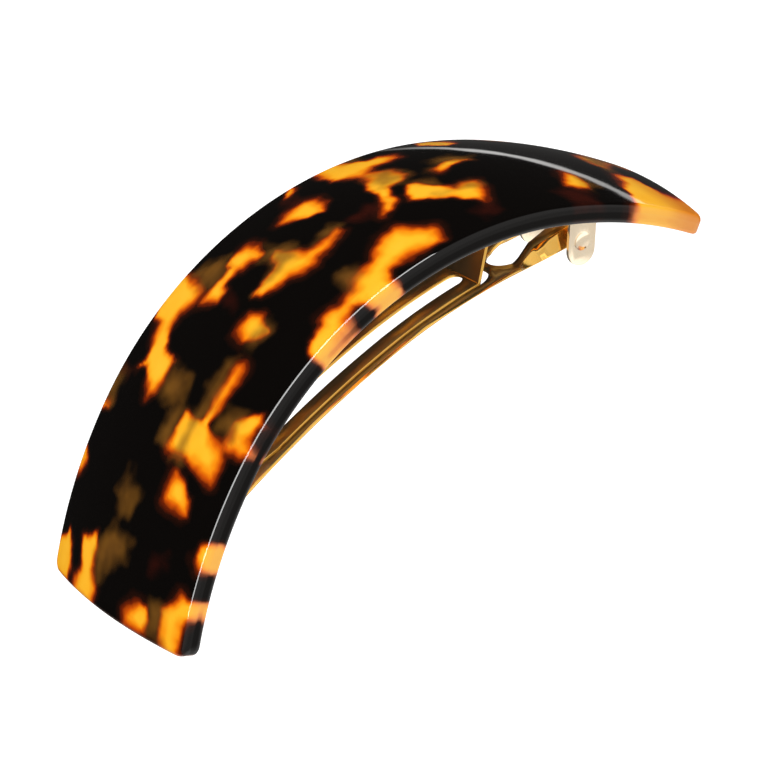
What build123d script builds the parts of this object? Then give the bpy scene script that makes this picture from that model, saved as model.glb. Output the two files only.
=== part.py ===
"""Arched hair barrette: a polished acetate shell on an 80 mm sprung metal clip.

Frame: +X runs along the shell to the clasp end, +Z points out of the arch, and z = 0 is the
plane that the shell's two end edges rest on. All lengths are millimetres and angles degrees.
"""
from build123d import *
import os
from math import asin, copysign, cos, radians, sin

# Shell
SHELL_CHORD = 105.0        # straight length between the outer end edges
SHELL_RISE = 27.6          # height of the arch over that chord
SHELL_WIDTH = 37.5
END_ANGLE = 52.0           # slope of the arch at its ends
MID_ANGLE = 31.6           # slope where the tight middle meets the flatter ends
EDGE_THICKNESS = 2.8
CROWN = 2.3                # how far the outer face bulges over its long edges
CORNER_RADIUS = 2.0
OUTER_ROUND = 0.9
INNER_ROUND = 0.6

# Sheet metal of the clip
CLIP_WIDTH = 11.0
BASE_SHEET = 0.8
LUG_SHEET = 0.7
ARM_SHEET = 0.6
BAR_SHEET = 0.5
EAR_SHEET = 0.6
BASE_START = -38.6         # slopes of the arch where the base plate ends
BASE_END = 44.6

# Hinge end
PIN_X = -32.8
PIN_Z = 7.1
PIN_RADIUS = 0.65
PIN_HEAD_RADIUS = 1.05
PIN_HEAD = 0.35
PIN_CLEARANCE = 0.06
LUG_RADIUS = 1.9
LUG_SLOPES = (-37.5, -32.0)
LUG_INSIDE = 5.0           # half the space between the two lugs
BARREL_HALF = 4.6
TRUNNION_X = -32.6
TRUNNION_Z = 9.12
TRUNNION_RADIUS = 0.5

# Clamp arm
ARM_HALF = 5.35
ARM_APEX_X = 2.2
ARM_APEX_Z = 9.46          # underside of the arm at its highest place
ARM_RADIUS_LEFT = 170.0
ARM_RADIUS_RIGHT = 99.0
ARM_NECK_X = -28.8         # left of this the arm is narrow enough for the lugs
ARM_SLOT_START = -21.1
ARM_SLOT_END = 23.8
ARM_SLOT_HALF = 4.0
ARM_SLOT_ROUND = 3.2
RAMP_START = 27.4          # where the tip's raised channel begins
RAMP_END = 31.4
TIP_END = 40.4
TIP_HALF = 4.95            # half width over the skirts at the tip
TIP_TOP_HALF = 4.2         # half width of the channel's flat top
TIP_RISE = 1.9             # height of the channel over the skirt edges at RAMP_END
TIP_RISE_END = 2.5
TIP_DROP = 2.15            # how far the skirt edges fall between RAMP_END and TIP_END
WINDOW_X = 28.3
WINDOW_RADIUS = 3.1
WINDOW_TAIL_X = 34.8
WINDOW_TAIL_RADIUS = 1.7

# Tension bar
BAR_HALF = 4.45
BAR_GAP = 0.12             # air between the bar and the arm
BAR_STRAIGHT_X = -20.0     # left of this the bar is straight, up over the arm's curled root
BAR_BEND_X = 20.4
BAR_LEG_TOP = (27.87, 17.75)
BAR_FOOT_LENGTH = 3.4
BAR_FOOT_SLOPE = 31.3
BAR_SLOT_HALF = 1.6
BAR_SLOT_START = -24.2
BAR_SLOT_END = 20.1

# Clasp
BRIDGE_SLOPES = (39.4, 44.2)
BRIDGE_SHEET = 0.6
EAR_INSIDE = 5.7           # half the space between the ears
EAR_HALF = 2.5
EAR_TILT = 30.0            # lean of the ears away from upright
EAR_ROOT = (40.65, 8.7)
EAR_LENGTH = 9.2
DIMPLE_AT = 5.3            # from the ear's root
DIMPLE_RADIUS = 1.5
DIMPLE_DEPTH = 0.5
EAR_GAP = 0.08             # air between an ear's root and the bridge

# Fasteners through the base plate
RIVET_RADIUS = 0.9
RIVET_HEAD_RADIUS = 1.7
RIVET_HEAD = 0.5
HEAD_AIR = 0.03            # a flat head on the hollow side of a curved plate
CLASP_RIVET_SLOPE = 41.8
SHELL_PIN_SLOPES = (-16.0, 16.0)
SHELL_PIN_RADIUS = 0.75
SHELL_PIN_HEAD_RADIUS = 1.6
SHELL_PIN_HEAD = 0.45
SHELL_PIN_BITE = 2.2       # how far a pin goes into the acetate

# The arch is three tangent arcs, symmetric about x = 0
SIN_MID, COS_MID = sin(radians(MID_ANGLE)), cos(radians(MID_ANGLE))
SIN_END, COS_END = sin(radians(END_ANGLE)), cos(radians(END_ANGLE))
ARCH_SCALE = SIN_MID * (COS_MID - COS_END) - (SIN_END - SIN_MID) * (1 - COS_MID)
HALF_CHORD = SHELL_CHORD / 2
MID_RADIUS = (HALF_CHORD * (COS_MID - COS_END) - (SIN_END - SIN_MID) * SHELL_RISE) / ARCH_SCALE
END_RADIUS = (SIN_MID * SHELL_RISE - (1 - COS_MID) * HALF_CHORD) / ARCH_SCALE
REST_DROP = EDGE_THICKNESS * COS_END - INNER_ROUND * (COS_END + SIN_END - 1)
ARCH_TOP = SHELL_RISE + REST_DROP
BASE_INSIDE = EDGE_THICKNESS + BASE_SHEET
BAR_LIFT = ARM_SHEET + BAR_GAP + BAR_SHEET / 2


def arch_point(slope, depth):
    """(x, z) where the arch has this slope, at a depth under the outer edge line."""
    turn = radians(abs(slope))
    if abs(slope) <= MID_ANGLE:
        along = MID_RADIUS * sin(turn)
        drop = MID_RADIUS * (1 - cos(turn))
    else:
        along = MID_RADIUS * SIN_MID + END_RADIUS * (sin(turn) - SIN_MID)
        drop = MID_RADIUS * (1 - COS_MID) + END_RADIUS * (COS_MID - cos(turn))
    along -= depth * sin(turn)
    return copysign(along, slope), ARCH_TOP - drop - depth * cos(turn)


def arch_curve(start, end, depth):
    """Tangent arcs along the arch between two slopes."""
    stops = [start] + [m for m in (-MID_ANGLE, MID_ANGLE) if start < m < end] + [end]
    arcs = []
    for a, b in zip(stops, stops[1:]):
        points = [arch_point(slope, depth) for slope in (a, (a + b) / 2, b)]
        arcs.append(ThreePointArc(*points))
    return arcs


def side_plate(edges, low_y, high_y):
    """Solid whose side view in (x, z) is the closed outline, between two values of y."""
    face = Plane.XZ * make_face(edges)
    return Pos(0, high_y, 0) * extrude(face, amount=high_y - low_y, dir=(0, -1, 0))


def arch_strip(start, end, outside, inside, half_width):
    """Strip that follows the arch between two slopes and two depths."""
    top = arch_curve(start, end, outside)
    bottom = arch_curve(start, end, inside)
    ends = [Line(arch_point(s, outside), arch_point(s, inside)) for s in (start, end)]
    return side_plate(top + bottom + ends, -half_width, half_width)


def plan_cut(sketch, low_z=-5.0, high_z=40.0):
    """Upright cutter with the sketch as its plan."""
    return Pos(0, 0, low_z) * extrude(sketch, amount=high_z - low_z)


def cross_rod(x, z, radius, low_y, high_y):
    """Round bar along Y."""
    return Pos(x, (low_y + high_y) / 2, z) * Rot(90, 0, 0) * Cylinder(radius, high_y - low_y)


def arch_rod(slope, radius, outside, inside):
    """Round bar square to the arch, between two depths."""
    x, z = arch_point(slope, (outside + inside) / 2)
    return Pos(x, 0, z) * Rot(0, slope, 0) * Cylinder(radius, inside - outside)


def both_sides(solid):
    """The solid and its mirror image across the XZ plane."""
    return solid + mirror(solid, about=Plane.XZ)


def rounded_slot(start_x, end_x, half_width, corner):
    """Plan of a long slot with rounded corners."""
    middle = (start_x + end_x) / 2
    return Pos(middle, 0) * RectangleRounded(end_x - start_x, 2 * half_width, corner)


def shell():
    """Arched acetate rectangle, crowned across its width, with every edge rounded."""
    path = Wire([Plane.XZ * arc for arc in arch_curve(-END_ANGLE, END_ANGLE, 0)])
    start = Plane(origin=path @ 0, x_dir=(0, 1, 0), z_dir=path % 0)
    half = SHELL_WIDTH / 2
    section = make_face([
        Line((-half, 0), (-half, -EDGE_THICKNESS)),
        Line((-half, -EDGE_THICKNESS), (half, -EDGE_THICKNESS)),
        Line((half, -EDGE_THICKNESS), (half, 0)),
        ThreePointArc((half, 0), (0, CROWN), (-half, 0)),
    ])
    body = sweep(start * section, path=path)
    upright = [e for e in body.edges() if e.length < 2 * EDGE_THICKNESS and is_end_corner(e)]
    body = fillet(upright, CORNER_RADIUS)
    body = fillet(rim_edges(body, outer=True), OUTER_ROUND)
    return fillet(rim_edges(body, outer=False), INNER_ROUND)


def is_end_corner(edge):
    """True for the short edges through the shell's thickness at its four corners."""
    middle = edge @ 0.5
    end_x = arch_point(END_ANGLE, EDGE_THICKNESS)[0]
    return abs(abs(middle.Y) - SHELL_WIDTH / 2) < 0.1 and abs(middle.X) > end_x


def depth_of(point):
    """Depth of a point under the shell's outer edge line."""
    low, high = 0.0, END_ANGLE + 4
    for _ in range(40):
        slope = (low + high) / 2
        x, z = arch_point(slope, 0)
        tangent = cos(radians(slope)), -sin(radians(slope))
        ahead = (abs(point.X) - x) * tangent[0] + (point.Z - z) * tangent[1]
        low, high = (slope, high) if ahead > 0 else (low, slope)
    x, z = arch_point(slope, 0)
    return (x - abs(point.X)) * sin(radians(slope)) + (z - point.Z) * cos(radians(slope))


def rim_edges(body, outer):
    """Edges round the outer or the inner face, without the seams across it."""
    half = SHELL_WIDTH / 2
    found = []
    for edge in body.edges():
        middle = edge @ 0.5
        depth = depth_of(middle)
        level = depth < EDGE_THICKNESS / 3 if outer else depth > EDGE_THICKNESS * 0.9
        across = abs(edge.length - SHELL_WIDTH) < SHELL_WIDTH / 4
        seam = across and abs(middle.X) < arch_point(END_ANGLE - 3, EDGE_THICKNESS)[0]
        on_rim = abs(middle.Y) > half - CORNER_RADIUS or across
        if level and on_rim and not seam:
            found.append(edge)
    return found


def lug(side):
    """Upright hinge lug on one side of the base plate, bored for the pin and the bar."""
    low, high = [arch_point(s, EDGE_THICKNESS + BASE_SHEET / 2) for s in LUG_SLOPES]
    near_y, far_y = sorted((side * LUG_INSIDE, side * (LUG_INSIDE + LUG_SHEET)))
    blade = side_plate([
        Line(low, high),
        Line(high, (PIN_X + LUG_RADIUS, PIN_Z)),
        ThreePointArc((PIN_X + LUG_RADIUS, PIN_Z), (PIN_X, PIN_Z - LUG_RADIUS), (PIN_X - LUG_RADIUS, PIN_Z)),
        Line((PIN_X - LUG_RADIUS, PIN_Z), low),
    ], near_y, far_y)
    blade -= cross_rod(PIN_X, PIN_Z, PIN_RADIUS, near_y - 1, far_y + 1)
    hole = TRUNNION_RADIUS + PIN_CLEARANCE
    return blade - cross_rod(TRUNNION_X, TRUNNION_Z, hole, near_y - 1, far_y + 1)


def base_plate():
    """Curved base plate glued and pinned to the shell, with its two hinge lugs."""
    plate = arch_strip(BASE_START, BASE_END, EDGE_THICKNESS, BASE_INSIDE, CLIP_WIDTH / 2)
    corners = [e for e in plate.edges() if abs(e.length - BASE_SHEET) < 0.01]
    plate = fillet(corners, 2.0)
    plate += lug(-1)
    plate += lug(1)
    plate -= arch_rod(CLASP_RIVET_SLOPE, RIVET_RADIUS, EDGE_THICKNESS - 1, BASE_INSIDE + 1)
    for slope in SHELL_PIN_SLOPES:
        plate -= arch_rod(slope, SHELL_PIN_RADIUS, EDGE_THICKNESS - 1, BASE_INSIDE + 1)
    return plate


def shell_with_pin_holes():
    """The shell with a blind hole for each fixing pin."""
    body = shell()
    for slope in SHELL_PIN_SLOPES:
        body -= arch_rod(slope, SHELL_PIN_RADIUS, EDGE_THICKNESS - SHELL_PIN_BITE, EDGE_THICKNESS + 1)
    return body


def shell_pins():
    """Two headed pins from the base plate into the acetate."""
    pins = []
    for slope in SHELL_PIN_SLOPES:
        shank = arch_rod(slope, SHELL_PIN_RADIUS, EDGE_THICKNESS - SHELL_PIN_BITE, BASE_INSIDE + SHELL_PIN_HEAD)
        head = arch_rod(slope, SHELL_PIN_HEAD_RADIUS, BASE_INSIDE + HEAD_AIR, BASE_INSIDE + SHELL_PIN_HEAD)
        pins.append(shank + head)
    return Compound(children=pins)


def clasp_bridge():
    """Web of the U-shaped clasp, across the base plate between the two ears."""
    inside = BASE_INSIDE + BRIDGE_SHEET
    web = arch_strip(*BRIDGE_SLOPES, BASE_INSIDE, inside, EAR_INSIDE)
    return web - arch_rod(CLASP_RIVET_SLOPE, RIVET_RADIUS, BASE_INSIDE - 1, inside + 1)


def clasp_rivet():
    """Rivet that holds the clasp's web to the base plate."""
    inside = BASE_INSIDE + BRIDGE_SHEET
    shank = arch_rod(CLASP_RIVET_SLOPE, RIVET_RADIUS, EDGE_THICKNESS, inside + RIVET_HEAD)
    head = arch_rod(CLASP_RIVET_SLOPE, RIVET_HEAD_RADIUS, inside + HEAD_AIR, inside + RIVET_HEAD)
    return shank + head


def ear(side):
    """Pinch ear with a rounded end and a dimple pressed in from outside."""
    inner_y = side * (EAR_INSIDE + EAR_GAP)
    outer_y = inner_y + side * EAR_SHEET
    low_y, high_y = sorted((inner_y, outer_y))
    straight = EAR_LENGTH - EAR_HALF
    outline = [
        Line((-EAR_HALF, 0), (EAR_HALF, 0)),
        Line((EAR_HALF, 0), (EAR_HALF, -straight)),
        ThreePointArc((EAR_HALF, -straight), (0, -EAR_LENGTH), (-EAR_HALF, -straight)),
        Line((-EAR_HALF, -straight), (-EAR_HALF, 0)),
    ]
    blade = side_plate(outline, low_y, high_y)
    ball = (DIMPLE_RADIUS ** 2 + DIMPLE_DEPTH ** 2) / (2 * DIMPLE_DEPTH)
    reach = ball - DIMPLE_DEPTH
    bump = Pos(0, inner_y + side * reach, -DIMPLE_AT) * Sphere(ball)
    bump &= Pos(0, inner_y - side * DIMPLE_DEPTH / 2, -DIMPLE_AT) * Box(4, DIMPLE_DEPTH, 4)
    recess = Pos(0, outer_y + side * reach, -DIMPLE_AT) * Sphere(ball)
    shaped = blade + bump - recess
    return Pos(EAR_ROOT[0], 0, EAR_ROOT[1]) * Rot(0, EAR_TILT, 0) * shaped


def hinge_pin():
    """Headed pin through both lugs."""
    end = LUG_INSIDE + LUG_SHEET
    shank = cross_rod(PIN_X, PIN_Z, PIN_RADIUS, -end, end)
    heads = both_sides(cross_rod(PIN_X, PIN_Z, PIN_HEAD_RADIUS, end, end + PIN_HEAD))
    return shank + heads


def bow_point(x, lift):
    """(x, z) on the arm's bow at a height over its underside."""
    radius = ARM_RADIUS_LEFT if x < ARM_APEX_X else ARM_RADIUS_RIGHT
    turn = asin((x - ARM_APEX_X) / (radius + lift))
    return x, ARM_APEX_Z - radius + (radius + lift) * cos(turn)


def bow_curve(start_x, end_x, lift):
    """Tangent arcs along the arm's bow."""
    stops = [start_x] + [ARM_APEX_X] * (start_x < ARM_APEX_X < end_x) + [end_x]
    arcs = []
    for a, b in zip(stops, stops[1:]):
        points = [bow_point(x, lift) for x in (a, (a + b) / 2, b)]
        arcs.append(ThreePointArc(*points))
    return arcs


def bow_strip(start_x, end_x, low, high, half_width):
    """Strip along the arm's bow, between two heights over the arm's underside."""
    top = bow_curve(start_x, end_x, high)
    bottom = bow_curve(start_x, end_x, low)
    ends = [Line(bow_point(x, low), bow_point(x, high)) for x in (start_x, end_x)]
    return side_plate(top + bottom + ends, -half_width, half_width)


def barrel():
    """Curl at the arm's root round the hinge pin, with the sheet that runs into it."""
    outside = PIN_RADIUS + PIN_CLEARANCE + ARM_SHEET
    join_x = ARM_NECK_X
    foot, top = bow_point(join_x, 0), bow_point(join_x, ARM_SHEET)
    web = side_plate([
        Line((PIN_X, PIN_Z - outside), foot),
        Line(foot, top),
        Line(top, (PIN_X, PIN_Z - outside + ARM_SHEET)),
        Line((PIN_X, PIN_Z - outside + ARM_SHEET), (PIN_X, PIN_Z - outside)),
    ], -BARREL_HALF, BARREL_HALF)
    curl = cross_rod(PIN_X, PIN_Z, outside, -BARREL_HALF, BARREL_HALF) + web
    return curl - cross_rod(PIN_X, PIN_Z, PIN_RADIUS + PIN_CLEARANCE, -BARREL_HALF - 1, BARREL_HALF + 1)


def channel_section(x, skirt_z, half, top_half, rise):
    """Section of the raised tip at one x: a flat top with a sloping skirt on each side."""
    wall = ARM_SHEET
    points = [
        (-half, skirt_z), (-top_half, skirt_z + rise + wall), (top_half, skirt_z + rise + wall), (half, skirt_z),
        (half - wall, skirt_z - 0.001), (top_half - wall / 2, skirt_z + rise),
        (-top_half + wall / 2, skirt_z + rise), (-half + wall, skirt_z - 0.001),
    ]
    return Plane(origin=(x, 0, 0), x_dir=(0, 1, 0), z_dir=(1, 0, 0)) * make_face(Polyline(*points, close=True))


def arm_tip():
    """Raised channel at the arm's free end, which the ears take between them."""
    start_z = bow_point(RAMP_START, 0)[1]
    ramp_z = bow_point(RAMP_END, 0)[1]
    flat = channel_section(RAMP_START, start_z, ARM_HALF, ARM_HALF - ARM_SHEET, 0.02)
    raised = channel_section(RAMP_END, ramp_z, TIP_HALF + 0.2, TIP_TOP_HALF, TIP_RISE)
    last = channel_section(TIP_END, ramp_z - TIP_DROP, TIP_HALF, TIP_TOP_HALF, TIP_RISE_END)
    return loft([flat, raised], ruled=True) + loft([raised, last], ruled=True)


def clamp_arm():
    """Bowed arm with a long slot, a curled root and a raised tip with a teardrop window."""
    arm = bow_strip(ARM_NECK_X, RAMP_START, 0, ARM_SHEET, ARM_HALF)
    arm += barrel()
    arm += arm_tip()
    arm -= plan_cut(rounded_slot(ARM_SLOT_START, ARM_SLOT_END, ARM_SLOT_HALF, ARM_SLOT_ROUND))
    window = Pos(WINDOW_X, 0) * Circle(WINDOW_RADIUS) + Pos(WINDOW_TAIL_X, 0) * Circle(WINDOW_TAIL_RADIUS)
    return arm - plan_cut(make_hull(window.edges()))


def tension_bar():
    """Slotted leaf spring over the arm, with trunnions at its root and a foot on the base."""
    root = TRUNNION_X, TRUNNION_Z
    straight = bow_point(BAR_STRAIGHT_X, BAR_LIFT)
    bend = bow_point(BAR_BEND_X, BAR_LIFT)
    foot_turn = radians(BAR_FOOT_SLOPE)
    foot = (BAR_LEG_TOP[0] + BAR_FOOT_LENGTH * cos(foot_turn), BAR_LEG_TOP[1] - BAR_FOOT_LENGTH * sin(foot_turn))
    line = Wire([
        Line(root, straight),
        *bow_curve(BAR_STRAIGHT_X, BAR_BEND_X, BAR_LIFT),
        Line(bend, BAR_LEG_TOP),
        Line(BAR_LEG_TOP, foot),
    ])
    sheet = side_plate(trace(line, BAR_SHEET).face(), -BAR_HALF, BAR_HALF)
    sheet -= plan_cut(rounded_slot(BAR_SLOT_START, BAR_SLOT_END, BAR_SLOT_HALF, BAR_SLOT_HALF * 0.98))
    end = LUG_INSIDE + LUG_SHEET
    trunnions = both_sides(cross_rod(root[0], root[1], TRUNNION_RADIUS, BAR_HALF - 1, end))
    return sheet + trunnions


NODES = {
    "shell": shell_with_pin_holes,
    "base_plate": base_plate,
    "shell_pins": shell_pins,
    "clasp_bridge": clasp_bridge,
    "clasp_rivet": clasp_rivet,
    "near_ear": lambda: ear(-1),
    "far_ear": lambda: ear(1),
    "hinge_pin": hinge_pin,
    "clamp_arm": clamp_arm,
    "tension_bar": tension_bar,
}

os.makedirs("parts", exist_ok=True)
for name, make in NODES.items():
    export_step(make(), f"parts/{name}.step")
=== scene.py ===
"""Looks of the barrette: tortoiseshell acetate shell, gold-plated clip, pale studio.

Lengths are millimetres until MM turns them into metres. The shell is described in sheet
coordinates: s along the arch from its middle, y across it, and depth under its outer edge line.
"""

from math import cos, pi, radians, sin

import bmesh
import bpy
import numpy as np
from mathutils import Matrix, Vector


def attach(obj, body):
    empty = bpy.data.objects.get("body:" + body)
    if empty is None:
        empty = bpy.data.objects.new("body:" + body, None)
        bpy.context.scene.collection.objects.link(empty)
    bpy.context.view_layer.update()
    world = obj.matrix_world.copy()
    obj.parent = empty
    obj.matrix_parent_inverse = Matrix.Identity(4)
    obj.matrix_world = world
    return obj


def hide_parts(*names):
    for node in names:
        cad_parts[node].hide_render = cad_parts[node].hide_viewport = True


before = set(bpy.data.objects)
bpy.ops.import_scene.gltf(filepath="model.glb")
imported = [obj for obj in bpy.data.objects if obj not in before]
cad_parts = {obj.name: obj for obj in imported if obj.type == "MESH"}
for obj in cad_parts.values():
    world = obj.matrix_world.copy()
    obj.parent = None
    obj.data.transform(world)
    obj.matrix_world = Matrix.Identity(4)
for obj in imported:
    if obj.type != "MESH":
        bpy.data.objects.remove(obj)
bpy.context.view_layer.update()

MM = 0.001

# Shell: the same arch as the CAD part
CHORD = 105.0
RISE = 27.6
WIDTH = 37.5
END_ANGLE = radians(52.0)
MID_ANGLE = radians(31.6)
THICKNESS = 2.8
CROWN = 2.3
CORNER = 2.0
OUTER_ROUND = 0.9
INNER_ROUND = 0.6
GRID = 0.55                # spacing of the shell's mesh away from its edges
ROUND_STEPS = 6            # steps round a quarter turn at its edges and corners
WALL_BANDS = 3             # rows of faces down the shell's upright edge

# Clip: how far its sharp edges are broken
STRIP_BEVEL = 0.11         # arm and tension bar
PLATE_BEVEL = 0.08         # ears and base plate
BEVEL_ANGLE = radians(28)
SHORTEST_EDGE = 0.08       # shorter edges would hold the bevel back, so they are merged first
WELD_GAP = 0.004           # the bevel's slivers under this are closed up
ROLLED_NORMAL = 0.6        # faces that look up or down more than this are the sheet's faces, which get the darker gold of painted shade

# Acetate
ACETATE_IOR = 1.49
FACE_GLOSS = 0.27          # specular level of its faces
EDGE_GLOSS = 0.13          # the same on its upright edges
RAGGED = 1.5               # how far noise moves the borders of the amber patches
HAZE = 4.0                 # and those of the smoky and red areas

# Camera
AZIMUTH = radians(-20.53)
ELEVATION = radians(35.28)
ROLL = radians(-27.57)
DISTANCE = 527.3
TARGET_Z = -0.6
SENSOR = 36.0
LENS = 165.5
SHIFT = (-0.0081, 0.0311)

FLOOR_Z = -75.0            # the open arm hangs to 68 under the shell's ends
FLOOR_HALF = 4000.0

# Brightness of what gloss reflects
FRONT_GLOW = 0.9
BELOW_GLOW = 0.8
STRIP_GLOW = 2.0
BEHIND_GLOW = 0.035
EVERYWHERE_GLOW = 0.02

# The strip behind, which makes the streak along the crown, lies about the plane z = a + b x + c y
STRIP_PLANE = (-0.8189, 0.6715, 0.3158)
STRIP_HALF = 0.014

# Amber patches of the acetate, as outlines in sheet coordinates
AMBER = [
    [(-61.5, 18), (-56.5, 18.8), (-55, 16), (-53.8, 15), (-55.5, 13), (-58.5, 12.4), (-61.5, 12.5)],
    [(-63, 11.5), (-60, 10.2), (-57.6, 8.6), (-53, 10.2), (-51.3, 5.6), (-53, 4.9), (-56.5, 5.2),
     (-58.5, 3.2), (-63, 3.6)],
    [(-46.3, 21), (-46.2, 18.5), (-45, 16.8), (-43, 16.2), (-41.3, 17.5), (-40.6, 21)],
    [(-35.5, 21), (-35, 15.6), (-34, 15.5), (-33.6, 21)],
    [(-27.1, 13.2), (-26, 12.2), (-24, 12.7), (-20.4, 15.2), (-20, 17.5), (-14.5, 20), (-12, 20),
     (-12.2, 14.5), (-13.2, 10.3), (-15.5, 9.8), (-17.9, 12), (-20.4, 10.6), (-22.8, 9.3),
     (-24.2, 5.1), (-29.2, 5.1), (-30.3, 6.6), (-27.4, 9.6), (-26.6, 11)],
    [(-41.7, -6.8), (-37.2, -7.2), (-37.7, -9.6), (-40, -12), (-42, -12.4)],
    [(-34.6, -3), (-29.3, -3.7), (-29.2, -8.5), (-30.3, -11), (-31.2, -14), (-34, -15), (-36.2, -14.5),
     (-35.8, -11), (-34.8, -8), (-35.2, -5)],
    [(-29.8, -7.8), (-20, -7.7), (-19.4, -8.6), (-20.3, -9.6), (-26, -9.7), (-29.8, -8.8)],
    [(-31.2, -13.2), (-30, -13.8), (-27, -13.5), (-25, -15), (-24.2, -17), (-25.5, -17.9),
     (-28, -16.9), (-30, -18.9), (-30.9, -17)],
    [(-60.8, -5.6), (-59, -5), (-57.3, -7), (-56.3, -10), (-58.6, -10.6), (-60.6, -10.2)],
    [(-63, -14.5), (-59, -13.2), (-55.8, -12.8), (-53.9, -15), (-52.4, -16.5), (-52.6, -20),
     (-54.5, -20), (-56, -17.9), (-59, -17.4), (-63, -17.9)],
    [(-48, -18.2), (-46.5, -16.7), (-44.8, -17), (-43.6, -18.5), (-43.4, -21), (-48.2, -21)],
    [(-14.8, 8.6), (-12, 8.8), (-8.6, 9), (-7.6, 8.2), (-8, 6.9), (-11.2, 6.6), (-12, 5.1), (-13.7, 5.1)],
    [(-8, 10.4), (-6, 10.8), (-4, 10.2), (-3.3, 8), (-4.2, 5), (-5.4, 5), (-6, 6.2), (-7.6, 6.2),
     (-8.4, 7.8)],
    [(-10.6, -0.6), (-7, 0), (-4.8, 0.8), (-4.2, 3), (-3, 3.4), (-1.6, 1), (-0.6, -2), (1.5, -2.4),
     (4.9, -1.8), (4.8, -3), (2, -4.2), (0.4, -4.6), (-0.6, -4.2), (-2, -5.3), (-3.5, -5),
     (-5.5, -3.6), (-8, -3.2), (-9.8, -2.2)],
    [(-15.9, -3.2), (-13.2, -3), (-12.2, -5), (-12.8, -6.2), (-13.6, -8.8), (-15.6, -7.6), (-16.8, -5.6)],
    [(1.6, 8.8), (3.6, 10.4), (7, 10.4), (8.2, 9), (8, 6), (6.8, 4.3), (4.6, 5.2), (2.8, 7)],
    [(6.4, 15.2), (8, 17.4), (9, 20), (10.4, 20), (9.2, 16.6), (7.4, 15.2)],
    [(13.8, 20), (18.2, 20), (18.6, 17), (20.5, 14), (22.5, 14), (24.2, 12.6), (23.6, 10.4),
     (21.5, 10), (19.2, 10.2), (17.2, 8.4), (16.2, 8.2), (15, 9.6), (12.8, 11.4), (12.9, 15)],
    [(16, 8.2), (17.2, 8.2), (19.8, 6), (20.4, 3), (19, 1.2), (15.8, 0.8), (15, -1.5), (14.6, -3.6),
     (12.6, -5.2), (11, -5.2), (12.2, -3), (13, -1.5), (13.8, 1), (13.6, 3), (15.4, 6)],
    [(18.2, -0.8), (19.6, -1.2), (21, -4), (22.6, -6.3), (24.5, -5.8), (26.6, -6.2), (26, -8.6),
     (23.6, -12.2), (22, -10.4), (20.4, -8.8), (17.4, -6.6), (15.8, -5), (16.4, -3.2)],
    [(3.2, -12.6), (7, -10), (9.9, -9.3), (11.5, -11.2), (14.2, -13.8), (12.9, -16.8), (8, -16.2),
     (4, -16), (3, -17.6), (3.2, -21), (-1.5, -21), (-2.5, -18), (-4, -16.9), (-6, -18), (-7, -19.5),
     (-13.5, -21), (-13.6, -18.2), (-12, -15.8), (-8.8, -15.2), (-8, -14.4), (-5, -15.2),
     (-2.2, -14.8), (-0.8, -12.6), (1, -13)],
    [(30.4, 14.4), (31.6, 17.2), (34, 17), (36, 14.6), (35.6, 12), (33.6, 10.8)],
    [(24.2, -0.4), (27, 0.7), (30.6, 1.7), (29.4, 3), (26.4, 2.6), (24.2, 1.2)],
    [(41.5, -7.2), (42.4, -9), (42.6, -12), (41.6, -13.6), (38.2, -12.4), (39.6, -10)],
    [(50.6, -9.8), (51.2, -7.4), (53, -6.5), (55, -7), (55.6, -9.6), (57, -12), (59, -12.6),
     (63, -11), (63, -17), (60, -21), (47, -21), (46.6, -18.6), (48, -16.4), (49, -12.6)],
    [(51, 2), (54, 5.4), (58, 8.5), (63, 9), (63, 1), (59, -1), (56.5, 0.6), (55, -1.2), (52, -4),
     (50.6, -2)],
    [(42, 20), (42.6, 15.8), (45.5, 13), (48.6, 15.4), (48.2, 20)],
    [(55, 14.5), (58.4, 12.6), (60.6, 15.2), (58.8, 20), (55.4, 20)],
]
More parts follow.
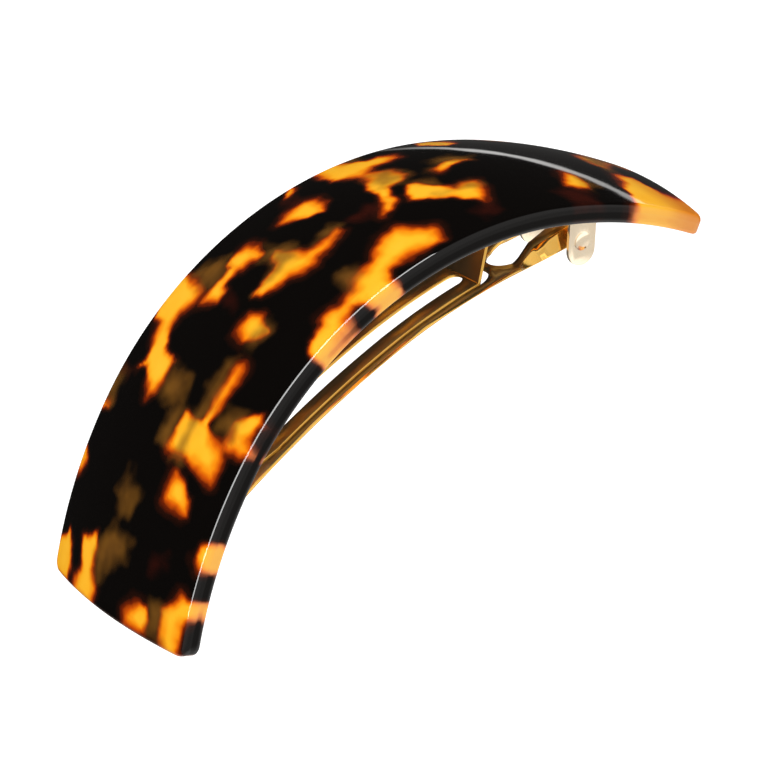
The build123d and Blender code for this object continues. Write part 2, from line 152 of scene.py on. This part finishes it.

# Smoky olive-brown areas, which lie over black and over amber alike: partly the acetate's own smoky
# pattern, partly painted shade of the hollow under the shell seen through the amber, as in the narrow bands
# just beyond the base plate's edges
SMOKE_AND_SHADE = [
    [(-57, 5.2), (-52, 5.2), (-48.3, 1.6), (-50, -2.8), (-52.5, -2.3), (-54.5, 1.2), (-57, 3)],
    [(-47.5, 1), (-44.5, 3.4), (-40.7, 3.2), (-43.5, -1.5), (-45, -1)],
    [(-33.6, 20), (-33.8, 15.6), (-29.5, 15.6), (-29, 20)],
    [(-28.8, 4.4), (-24.6, 4.4), (-25, 0), (-28, -1.5), (-29.6, 1)],
    [(-34.5, -0.5), (-31, 0), (-29, -1.5), (-29.3, -3.4), (-34.6, -3)],
    [(-35.5, -5.3), (-20.5, -5.6), (-19.5, -7.2), (-35.8, -7.6)],
    [(-29.5, -10.5), (-26, -11), (-25.5, -14.8), (-29.5, -14.8)],
    [(-60.5, -10.8), (-55.8, -10.8), (-55.5, -13.4), (-60.5, -13.8)],
    [(-12.3, 17), (-9, 15), (-6.5, 11.5), (-9, 9), (-13, 8.8), (-12.6, 12)],
    [(-5, 5), (-2.8, 6), (-1.3, 3), (-1.5, -1), (-2, -1.6), (-7, -1.4), (-9.6, -0.6), (-7, 0.1), (-4.6, 2)],
    [(0.2, -1.6), (4.4, 0), (4.9, -1.5), (3, -2.6)],
    [(-16.6, -6.2), (-12.4, -6.2), (-13.4, -8.8), (-15.8, -7.8)],
    [(16.4, 7.4), (19.8, 7), (20.2, 2), (18, 1), (15, 2), (15.5, 5)],
    [(18.8, -0.5), (21.2, -1), (21.3, -4), (19.8, -2.4)],
    [(19.5, -6.5), (26.6, -6.3), (25.8, -7.8), (19.5, -7.4)],
    [(-2.5, -15), (-1.5, -11), (0, -10.5), (1.5, -12.5), (0, -14.5)],
    [(23.4, 0.8), (26.4, 4.8), (29.5, 5.2), (32.4, 2.8), (30, 1.8), (26, 1.6)],
    [(42.3, -7.4), (44, -12), (42, -14), (41.3, -10)],
    [(51, 1.6), (54, 5), (58, 8), (62, 8.6), (62, 1.4), (59, -0.6), (56.5, 1), (52, -5.8), (50.8, -2)],
    [(18.4, 18.6), (19, 16), (20.8, 14.6), (21, 18.6)],
]

# Faint deep-red areas
EMBER = [
    [(-29.3, 18.5), (-28.2, 18.4), (-28.6, 15), (-29.4, 14.8)],
    [(-13.7, 4.8), (-12.2, 4.8), (-12.8, 0.5), (-13.1, 0.5)],
    [(5, 15), (6.5, 15.3), (6.8, 12), (7, 10.4), (5.6, 10.8), (5.2, 13)],
    [(-51.5, -8.8), (-50, -9.4), (-48.4, -11.6), (-49.6, -12), (-51.2, -10)],
    [(35, -14), (38, -12.8), (41, -14.2), (40, -18.2), (36, -18.2)],
    [(7.6, -1.6), (11, -1.2), (12, -3.2), (9.5, -4), (7.8, -3)],
    [(20.6, -13.6), (24.4, -12.6), (24.6, -15.6), (21, -15.8)],
]


def colour(red, green, blue):
    """Linear colour of an sRGB colour given in 0 to 255."""
    values = []
    for value in (red, green, blue):
        value /= 255
        values.append(value / 12.92 if value <= 0.04045 else ((value + 0.055) / 1.055) ** 2.4)
    return (*values, 1.0)


def add_object(name, data):
    """New object in the scene."""
    item = bpy.data.objects.new(name, data)
    bpy.context.scene.collection.objects.link(item)
    return item


def stand_for(piece, node, body):
    """Make a piece ride on a body in the place of a CAD node."""
    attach(piece, body)
    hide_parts(node)


class Nodes:
    """A material's node tree, with short calls that make and link its nodes."""

    def __init__(self, name):
        self.material = bpy.data.materials.new(name)
        self.material.use_nodes = True
        self.tree = self.material.node_tree
        self.shader = self.tree.nodes["Principled BSDF"]

    def add(self, kind, inputs=None, **settings):
        """New node, with its settings and with values or links for its inputs."""
        node = self.tree.nodes.new(kind)
        for key, value in settings.items():
            setattr(node, key, value)
        for key, value in (inputs or {}).items():
            self.feed(node.inputs[key], value)
        return node

    def feed(self, socket, value):
        """Link an output to the socket, or set its value."""
        if isinstance(value, bpy.types.NodeSocket):
            self.tree.links.new(value, socket)
        else:
            socket.default_value = value

    def math(self, operation, *values, clamp=False):
        node = self.add("ShaderNodeMath", operation=operation, use_clamp=clamp)
        for socket, value in zip(node.inputs, values):
            self.feed(socket, value)
        return node.outputs[0]

    def noise(self, vector, scale, detail=2.0, roughness=0.5):
        inputs = {"Vector": vector, "Scale": scale, "Detail": detail, "Roughness": roughness}
        return self.add("ShaderNodeTexNoise", inputs).outputs["Fac"]

    def step(self, value, low, high, out_low=0.0, out_high=1.0):
        """Smooth step of a value between two others."""
        inputs = {"Value": value, "From Min": low, "From Max": high, "To Min": out_low, "To Max": out_high}
        return self.add("ShaderNodeMapRange", inputs, interpolation_type="SMOOTHSTEP").outputs["Result"]

    def ramp(self, value, stops):
        """Colour ramp through (position, colour) stops."""
        node = self.add("ShaderNodeValToRGB", {"Fac": value})
        elements = node.color_ramp.elements
        while len(elements) < len(stops):
            elements.new(0.5)
        for element, (position, rgba) in zip(elements, stops):
            element.position = position
            element.color = rgba
        return node.outputs["Color"]

    def mix(self, factor, first, second):
        node = self.add("ShaderNodeMix", data_type="RGBA")
        self.feed(node.inputs["Factor"], factor)
        self.feed(node.inputs["A"], first)
        self.feed(node.inputs["B"], second)
        return node.outputs["Result"]

    def shifted(self, vector, amount):
        """The same coordinates moved, so that two noises don't coincide."""
        return self.add("ShaderNodeVectorMath", {0: vector, 1: (amount,) * 3}).outputs[0]

    def attribute(self, name, output):
        """Output of a mesh attribute."""
        return self.add("ShaderNodeAttribute", attribute_name=name).outputs[output]

    def bump(self, height, distance, strength):
        """Bump of the shader's normal."""
        inputs = {"Height": height, "Distance": distance, "Strength": strength}
        self.feed(self.shader.inputs["Normal"], self.add("ShaderNodeBump", inputs).outputs["Normal"])


class WorldNodes(Nodes):
    """The same for the surroundings, with the parts of the viewing direction ready."""

    def __init__(self, world):
        self.tree = world.node_tree
        self.background = self.tree.nodes["Background"]
        direction = self.add("ShaderNodeTexCoord").outputs["Generated"]
        self.x, self.y, self.z = self.add("ShaderNodeSeparateXYZ", {"Vector": direction}).outputs

    def near(self, value, centre, reach, strength):
        """Soft band of a strength about a value."""
        gap = self.math("ABSOLUTE", self.math("SUBTRACT", value, centre))
        return self.step(gap, reach * 1.4, reach * 0.6, 0.0, strength)


# ---------------------------------------------------------------- shell shape

SIN_MID, COS_MID = sin(MID_ANGLE), cos(MID_ANGLE)
SIN_END, COS_END = sin(END_ANGLE), cos(END_ANGLE)
ARCH_SCALE = SIN_MID * (COS_MID - COS_END) - (SIN_END - SIN_MID) * (1 - COS_MID)
MID_RADIUS = (CHORD / 2 * (COS_MID - COS_END) - (SIN_END - SIN_MID) * RISE) / ARCH_SCALE
END_RADIUS = (SIN_MID * RISE - (1 - COS_MID) * CHORD / 2) / ARCH_SCALE
ARCH_TOP = RISE + THICKNESS * COS_END - INNER_ROUND * (COS_END + SIN_END - 1)
MID_REACH = MID_RADIUS * MID_ANGLE
HALF_LENGTH = MID_REACH + END_RADIUS * (END_ANGLE - MID_ANGLE)
HALF_WIDTH = WIDTH / 2


def place(s, y, depth):
    """Points in metres from arrays of sheet coordinates."""
    reach = np.abs(s)
    middle = reach <= MID_REACH
    turn = np.where(middle, reach / MID_RADIUS, MID_ANGLE + (reach - MID_REACH) / END_RADIUS)
    radius = np.where(middle, MID_RADIUS, END_RADIUS)
    lean = np.where(middle, 0.0, (MID_RADIUS - END_RADIUS) * SIN_MID)
    rise = np.where(middle, MID_RADIUS, MID_RADIUS - (MID_RADIUS - END_RADIUS) * COS_MID)
    x = np.sign(s) * (lean + (radius - depth) * np.sin(turn))
    z = ARCH_TOP - rise + (radius - depth) * np.cos(turn)
    return np.stack([x, y, z], axis=-1) * MM


def edge_steps(radius):
    """Distances from an edge that follow its rounding evenly, then open out to the grid."""
    curve = [radius * (1 - cos(pi / 2 * k / ROUND_STEPS)) for k in range(ROUND_STEPS + 1)]
    return curve + [radius * 1.15, radius * 1.6]


def sheet_grid():
    """s, y and distance to the outline for a grid over the whole rounded rectangle."""
    near_edge = edge_steps(OUTER_ROUND)
    corner = [CORNER * (1 - cos(pi / 2 * k / ROUND_STEPS)) for k in range(ROUND_STEPS + 1)]
    ends = sorted(set(near_edge) | set(corner))
    inner = np.arange(ends[-1] + GRID, HALF_LENGTH, GRID)
    half = np.concatenate([HALF_LENGTH - np.array(ends), HALF_LENGTH - inner])
    s_line = np.concatenate([-half, half[::-1]])
    rows = np.concatenate([near_edge, np.arange(near_edge[-1] + GRID, HALF_WIDTH, GRID)])
    share = (HALF_WIDTH - rows) / HALF_WIDTH
    t_line = np.concatenate([-share, share[::-1]])
    s, t = np.meshgrid(s_line, t_line, indexing="ij")
    over = np.clip(np.abs(s) - (HALF_LENGTH - CORNER), 0, CORNER)
    y = t * (HALF_WIDTH - CORNER + np.sqrt(CORNER ** 2 - over ** 2))
    ahead = np.abs(s) - (HALF_LENGTH - CORNER)
    aside = np.abs(y) - (HALF_WIDTH - CORNER)
    outside = np.hypot(np.maximum(ahead, 0), np.maximum(aside, 0))
    outside += np.minimum(np.maximum(ahead, aside), 0)
    return s, y, np.maximum(CORNER - outside, 0)


def round_drop(distance, radius):
    """How far a rounded edge falls at a distance from the outline."""
    back = np.clip(radius - distance, 0, radius)
    return radius - np.sqrt(radius ** 2 - back ** 2)


def outline_distance(points, outlines):
    """Signed distance from points to the nearest outline, negative inside."""
    nearest = np.full(len(points), 1e9)
    for outline in outlines:
        corners = np.array(outline, float)
        inside = np.zeros(len(points), bool)
        distance = np.full(len(points), 1e9)
        for a, b in zip(corners, np.roll(corners, -1, axis=0)):
            along = np.clip((points - a) @ (b - a) / ((b - a) @ (b - a)), 0, 1)
            gap = points - a - along[:, None] * (b - a)
            distance = np.minimum(distance, np.hypot(gap[:, 0], gap[:, 1]))
            crosses = (a[1] > points[:, 1]) != (b[1] > points[:, 1])
            rise = b[1] - a[1] if b[1] != a[1] else 1.0
            inside ^= crosses & (points[:, 0] < (b[0] - a[0]) * (points[:, 1] - a[1]) / rise + a[0])
        nearest = np.minimum(nearest, np.where(inside, -distance, distance))
    return nearest


def rim_indices(shape):
    """Indices of a grid's outer vertices, in order round it."""
    index = np.arange(shape[0] * shape[1]).reshape(shape)
    return np.concatenate([index[:-1, 0], index[-1, :-1], index[:0:-1, -1], index[0, :0:-1]])


def shell_mesh():
    """Closed mesh of the shell, and each vertex's place in the acetate sheet."""
    s, y, edge = sheet_grid()
    crown = CROWN * (1 - (y / HALF_WIDTH) ** 2)
    outer = place(s, y, round_drop(edge, OUTER_ROUND) - crown).reshape(-1, 3)
    inner = place(s, y, THICKNESS - round_drop(edge, INNER_ROUND)).reshape(-1, 3)
    flat = np.stack([s, y], axis=-1).reshape(-1, 2)
    count = len(outer)
    index = np.arange(count).reshape(s.shape)
    a, b, c, d = index[:-1, :-1], index[1:, :-1], index[1:, 1:], index[:-1, 1:]
    faces = np.stack([a, b, c, d], axis=-1).reshape(-1, 4)
    rim = rim_indices(s.shape)
    rings, ring_flat = [], []
    outward = np.sign(flat[rim]) * rim_side(flat[rim])
    for k in range(1, WALL_BANDS):
        share = k / WALL_BANDS
        rings.append(outer[rim] * (1 - share) + inner[rim] * share)
        ring_flat.append(flat[rim] + outward * THICKNESS * min(share, 1 - share))
    points = np.concatenate([outer, inner, *rings])
    places = np.concatenate([flat, flat, *ring_flat])
    between = [2 * count + k * len(rim) + np.arange(len(rim)) for k in range(WALL_BANDS - 1)]
    levels = [rim, *between, rim + count]
    wall_faces = []
    for high, low in zip(levels, levels[1:]):
        wall_faces.append(np.stack([high, low, np.roll(low, -1), np.roll(high, -1)], axis=-1))
    return points, places, np.concatenate([faces, faces[:, ::-1] + count, *wall_faces])


def rim_side(flat):
    """1 along the axis that a rim point's side faces, and 0 along the other."""
    ahead = HALF_LENGTH - np.abs(flat[:, 0])
    aside = HALF_WIDTH - np.abs(flat[:, 1])
    at_end = ahead < aside
    return np.stack([at_end, ~at_end], axis=-1).astype(float)


def make_shell(material):
    """Acetate shell with the sheet coordinates and patch distances that its material reads."""
    points, places, faces = shell_mesh()
    mesh = bpy.data.meshes.new("acetate_shell")
    mesh.from_pydata(points.tolist(), [], faces.tolist())
    mesh.validate()
    mesh.materials.append(material)
    mesh.shade_smooth()
    sheet = mesh.attributes.new("sheet", "FLOAT_VECTOR", "POINT")
    columns = np.concatenate([places, np.zeros((len(places), 1))], axis=1)
    sheet.data.foreach_set("vector", columns.astype(np.float32).ravel())
    for name, outlines in (("amber", AMBER), ("smoke_and_shade", SMOKE_AND_SHADE), ("ember", EMBER)):
        layer = mesh.attributes.new(name, "FLOAT", "POINT")
        layer.data.foreach_set("value", outline_distance(places, outlines).astype(np.float32))
    stand_for(add_object("acetate_shell", mesh), "shell", "base")


# ---------------------------------------------------------------- clip

def make_bevelled(node, name, body, bevel, painted_shade_material, edge_material):
    """Copy of a CAD node with its sharp edges broken, which replaces the node.

    The sheet's faces, which look up or down, get the darker gold of painted shade, and the cut edges the
    plain gold.
    """
    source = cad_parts[node]
    edit = bmesh.new()
    edit.from_mesh(source.data)
    edit.transform(source.matrix_world)
    bmesh.ops.remove_doubles(edit, verts=edit.verts, dist=SHORTEST_EDGE * MM)
    bmesh.ops.dissolve_limit(edit, angle_limit=radians(0.5), verts=edit.verts, edges=edit.edges)
    mesh = bpy.data.meshes.new(name)
    edit.to_mesh(mesh)
    edit.free()
    mesh.materials.clear()
    mesh.materials.append(painted_shade_material)
    mesh.materials.append(edge_material)
    for face in mesh.polygons:
        face.material_index = 0 if abs(face.normal.z) > ROLLED_NORMAL else 1
    mesh.shade_smooth()
    piece = add_object(name, mesh)
    rounding = piece.modifiers.new("broken_edges", "BEVEL")
    rounding.width = bevel * MM
    rounding.segments = 2
    rounding.limit_method = "ANGLE"
    rounding.angle_limit = BEVEL_ANGLE
    rounding.harden_normals = True
    rounding.material = 1
    weld = piece.modifiers.new("weld", "WELD")
    weld.merge_threshold = WELD_GAP * MM
    stand_for(piece, node, body)


# ---------------------------------------------------------------- materials

def patch_colour(net, sheet, amber):
    """Near-black sheet with glowing amber, deep-red areas, and smoky areas that are partly painted shade.
    """
    glow = net.noise(net.shifted(sheet, 90.0), 0.22, 2.0)
    core = net.mix(glow, colour(255, 196, 58), colour(249, 168, 22))
    base = net.ramp(net.math("MULTIPLY_ADD", amber, 0.2, 0.5, clamp=True), [
        (0.0, colour(253, 186, 44)),
        (0.26, colour(252, 178, 34)),
        (0.40, colour(242, 138, 14)),
        (0.47, colour(204, 82, 8)),
        (0.54, colour(106, 32, 6)),
        (0.62, colour(34, 13, 7)),
        (0.73, colour(9, 7, 6)),
    ])
    base = net.mix(net.step(amber, -0.3, -1.8, 0.0, 0.8), base, core)
    haze = net.math("SUBTRACT", net.noise(net.shifted(sheet, 20.0), 0.3, 1.0), 0.5)
    haze = net.math("MULTIPLY", haze, HAZE)
    # Smoky areas: partly the acetate's own smoke, partly painted shade of the hollow seen through the amber
    smoke_and_shade = net.step(net.math("ADD", net.attribute("smoke_and_shade", "Fac"), haze), 1.5, -2.2, 0.0, 0.8)
    brown = net.mix(glow, colour(140, 92, 30), colour(78, 50, 22))
    base = net.mix(smoke_and_shade, base, brown)
    ember = net.step(net.math("ADD", net.attribute("ember", "Fac"), haze), 1.4, -2.0, 0.0, 0.7)
    return net.mix(ember, base, colour(58, 18, 10))


def end_tint(net, base, s, ragged):
    """The same colour, redder and darker towards both ends of the sheet."""
    along = net.math("ADD", s, ragged)
    right = net.step(along, HALF_LENGTH - 10.0, HALF_LENGTH - 2.5, 0.0, 0.85)
    left = net.step(along, 1.5 - HALF_LENGTH, 0.5 - HALF_LENGTH, 0.0, 0.45)
    tinted = net.add("ShaderNodeMix", data_type="RGBA", blend_type="MULTIPLY")
    net.feed(tinted.inputs["Factor"], net.math("MAXIMUM", right, left))
    net.feed(tinted.inputs["A"], base)
    net.feed(tinted.inputs["B"], (0.68, 0.36, 0.35, 1.0))
    return tinted.outputs["Result"]


def acetate():
    """Polished tortoiseshell, milky where amber meets the rim, with a painted pale reflection on its end
    walls, and less glossy on its cut edge.
    """
    net = Nodes("acetate")
    sheet = net.attribute("sheet", "Vector")
    ragged = net.math("MULTIPLY", net.math("SUBTRACT", net.noise(sheet, 0.42, 1.5, 0.45), 0.5), RAGGED)
    softness = net.step(net.noise(net.shifted(sheet, 40.0), 0.13, 0.0), 0.35, 0.65, 0.75, 1.9)
    amber = net.math("DIVIDE", net.math("ADD", net.attribute("amber", "Fac"), ragged), softness)
    part = net.add("ShaderNodeSeparateXYZ", {"Vector": sheet}).outputs
    base = end_tint(net, patch_colour(net, sheet, amber), part["X"], ragged)
    past_end = net.math("SUBTRACT", net.math("ABSOLUTE", part["X"]), HALF_LENGTH)
    past_side = net.math("SUBTRACT", net.math("ABSOLUTE", part["Y"]), HALF_WIDTH)
    past = net.math("MAXIMUM", past_end, past_side)
    milky = net.math("MULTIPLY", net.step(past, -0.9, 0.4, 0.0, 0.42), net.step(amber, 0.6, -0.4))
    base = net.mix(milky, base, colour(222, 168, 112))
    # Pale lilac on the end walls and their rounding: painted reflection
    base = net.mix(net.step(past_end, -0.8, 0.2, 0.0, 0.4), base, colour(196, 164, 150))
    net.feed(net.shader.inputs["Base Color"], base)
    net.feed(net.shader.inputs["Roughness"], net.step(net.noise(sheet, 2.5, 3.0), 0.2, 0.8, 0.03, 0.07))
    net.shader.inputs["IOR"].default_value = ACETATE_IOR
    net.feed(net.shader.inputs["Specular IOR Level"], net.step(past, 0.0, 0.7, FACE_GLOSS, EDGE_GLOSS))
    net.bump(net.noise(sheet, 0.22, 1.0), 0.05 * MM, 0.3)
    return net.material


def gold(name, deep, pale, smooth, rough, metal):
    """Gold plate with faint rolling lines and handling marks."""
    net = Nodes(name)
    position = net.add("ShaderNodeTexCoord").outputs["Object"]
    # Scales are per metre here: the lines are long in X and a quarter of a millimetre apart
    stretched = net.add("ShaderNodeMapping", {"Vector": position, "Scale": (300, 4000, 4000)})
    lines = net.noise(stretched.outputs["Vector"], 1.0, 3.0)
    marks = net.noise(position, 900.0, 3.0, 0.6)
    net.feed(net.shader.inputs["Base Color"], net.mix(marks, deep, pale))
    net.shader.inputs["Metallic"].default_value = metal
    net.feed(net.shader.inputs["Roughness"], net.step(lines, 0.2, 0.8, smooth, rough))
    net.bump(marks, 0.01 * MM, 0.05)
    return net.material


def floor_material():
    """Pale matt studio floor."""
    net = Nodes("pale_floor")
    position = net.add("ShaderNodeTexCoord").outputs["Object"]
    shade = net.mix(net.noise(position, 30.0), (0.5, 0.5, 0.5, 1.0), (0.53, 0.53, 0.53, 1.0))
    net.feed(net.shader.inputs["Base Color"], shade)
    net.shader.inputs["Roughness"].default_value = 0.9
    net.shader.inputs["Specular IOR Level"].default_value = 0.0
    net.shader.inputs["Emission Color"].default_value = (1.0, 1.0, 1.0, 1.0)
    net.shader.inputs["Emission Strength"].default_value = 0.75
    return net.material


# ---------------------------------------------------------------- studio

def make_floor():
    """Large pale floor, low enough to clear the arm when it hangs open."""
    half = FLOOR_HALF * MM
    mesh = bpy.data.meshes.new("studio_floor")
    corners = [(-half, -half, 0), (half, -half, 0), (half, half, 0), (-half, half, 0)]
    mesh.from_pydata(corners, [], [(0, 1, 2, 3)])
    mesh.materials.append(floor_material())
    floor = add_object("studio_floor", mesh)
    floor.location.z = FLOOR_Z * MM
    floor.visible_glossy = False


def panel(name, position, aim, size, power, along=(1, 0, 0), gloss_only=False):
    """Rectangular light that faces a point, with its length along a direction.

    It lights either the colour of things or, if gloss_only, their gloss.
    """
    data = bpy.data.lights.new(name, "AREA")
    data.shape = "RECTANGLE"
    data.size = size[0] * MM
    data.size_y = size[1] * MM
    data.energy = power
    light = add_object(name, data)
    back = (Vector(position) - Vector(aim)).normalized()
    side = Vector(along).cross(back).normalized()
    turn = Matrix((side.cross(back) * -1, side * -1, back)).transposed().to_4x4()
    light.matrix_world = Matrix.Translation(Vector(position) * MM) @ turn
    light.visible_glossy = gloss_only
    light.visible_diffuse = not gloss_only
    light.visible_camera = False


def make_world():
    """Surroundings that gloss reflects, and plain white to the camera.

    Bright in front and below, dim behind, with a narrow strip along the top of the dimness.
    """
    world = bpy.data.worlds.new("studio")
    bpy.context.scene.world = world
    world.use_nodes = True
    net = WorldNodes(world)
    x, y, z = net.x, net.y, net.z
    dimmed_low = net.step(z, -0.15, 0.25, 0.72, 1.0)
    front = net.math("MULTIPLY", net.step(y, -0.02, -0.3, 0.0, FRONT_GLOW), dimmed_low)
    below = net.step(z, -0.62, -0.78, 0.0, BELOW_GLOW)
    level, slope_x, slope_y = STRIP_PLANE
    plane = net.math("MULTIPLY_ADD", x, -slope_x, net.math("MULTIPLY_ADD", y, -slope_y, -level))
    height = net.math("ADD", z, plane)
    behind = net.step(y, 0.3, 0.5)
    right = net.math("MULTIPLY", behind, net.step(x, 0.42, 0.62))
    strip = net.math("MULTIPLY", net.near(height, 0.0, STRIP_HALF, STRIP_GLOW), right)
    dim = net.math("MULTIPLY", behind, net.step(height, 0.0, -0.02, 0.0, BEHIND_GLOW))
    total = EVERYWHERE_GLOW
    for part in (front, below, strip, dim):
        total = net.math("ADD", part, total)
    seen = net.add("ShaderNodeLightPath").outputs["Is Camera Ray"]
    net.feed(net.background.inputs["Strength"], net.math("MAXIMUM", total, seen))
    net.background.inputs["Color"].default_value = (1.0, 0.98, 0.96, 1.0)


def make_lights():
    """Soft panels that light the colour, and a long one that only draws the near edge's highlight."""
    panel("overhead", (0, 60, 520), (0, 0, 10), (420, 420), 1.9)
    panel("left_fill", (-480, -120, 240), (-20, 0, 12), (300, 300), 0.7)
    panel("right_fill", (480, 60, 240), (30, 0, 12), (300, 300), 0.7)
    panel("back_fill", (40, 480, 260), (0, 0, 15), (400, 200), 0.5)
    panel("edge_gloss", (-122, -95, 430), (0, -15, 15), (1060, 150), 12.0, (1015, 0, 301), gloss_only=True)


def make_camera():
    """Camera at the photograph's viewing angle."""
    back = Vector((sin(AZIMUTH) * cos(ELEVATION), -cos(AZIMUTH) * cos(ELEVATION), sin(ELEVATION)))
    right = Vector((0, 0, 1)).cross(back).normalized()
    up = back.cross(right)
    x_axis = cos(ROLL) * right + sin(ROLL) * up
    y_axis = cos(ROLL) * up - sin(ROLL) * right
    data = bpy.data.cameras.new("camera")
    data.sensor_width = SENSOR
    data.lens = LENS
    data.shift_x, data.shift_y = SHIFT
    data.clip_start = 0.01
    data.clip_end = 20.0
    camera = add_object("camera", data)
    turn = Matrix((x_axis, y_axis, back)).transposed().to_4x4()
    camera.matrix_world = Matrix.Translation((Vector((0, 0, TARGET_Z)) + DISTANCE * back) * MM) @ turn
    bpy.context.scene.camera = camera


make_shell(acetate())
bright = gold("gold_plate", (1.0, 0.52, 0.08, 1.0), (1.0, 0.64, 0.17, 1.0), 0.08, 0.17, 0.94)
# Paler, less metallic gold for the ears: painted highlight, a lit copy of the same gold plate
pale = gold("gold_plate_painted_highlight", (1.0, 0.83, 0.60, 1.0), (1.0, 0.88, 0.68, 1.0), 0.10, 0.2, 0.76)
# Darker, rougher gold for the faces of arm, bar and base plate: painted shade on the same gold plate as the
# edges
painted_shade_gold = gold("gold_plate_painted_shade", (0.50, 0.37, 0.19, 1.0), (0.58, 0.43, 0.23, 1.0), 0.28, 0.34, 0.94)
make_bevelled("clamp_arm", "gold_clamp_arm", "arm", STRIP_BEVEL, painted_shade_gold, bright)
make_bevelled("tension_bar", "gold_tension_bar", "bar", STRIP_BEVEL, painted_shade_gold, bright)
# The ears take the painted-highlight gold on all their faces
make_bevelled("near_ear", "gold_near_ear", "near_ear", PLATE_BEVEL, pale, pale)
make_bevelled("far_ear", "gold_far_ear", "far_ear", PLATE_BEVEL, pale, pale)
make_bevelled("base_plate", "gold_base_plate", "base", PLATE_BEVEL, painted_shade_gold, bright)
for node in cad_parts.values():
    node.data.materials.clear()
    node.data.materials.append(bright)
make_floor()
make_world()
make_lights()
make_camera()
bpy.context.scene.view_settings.view_transform = "Standard"
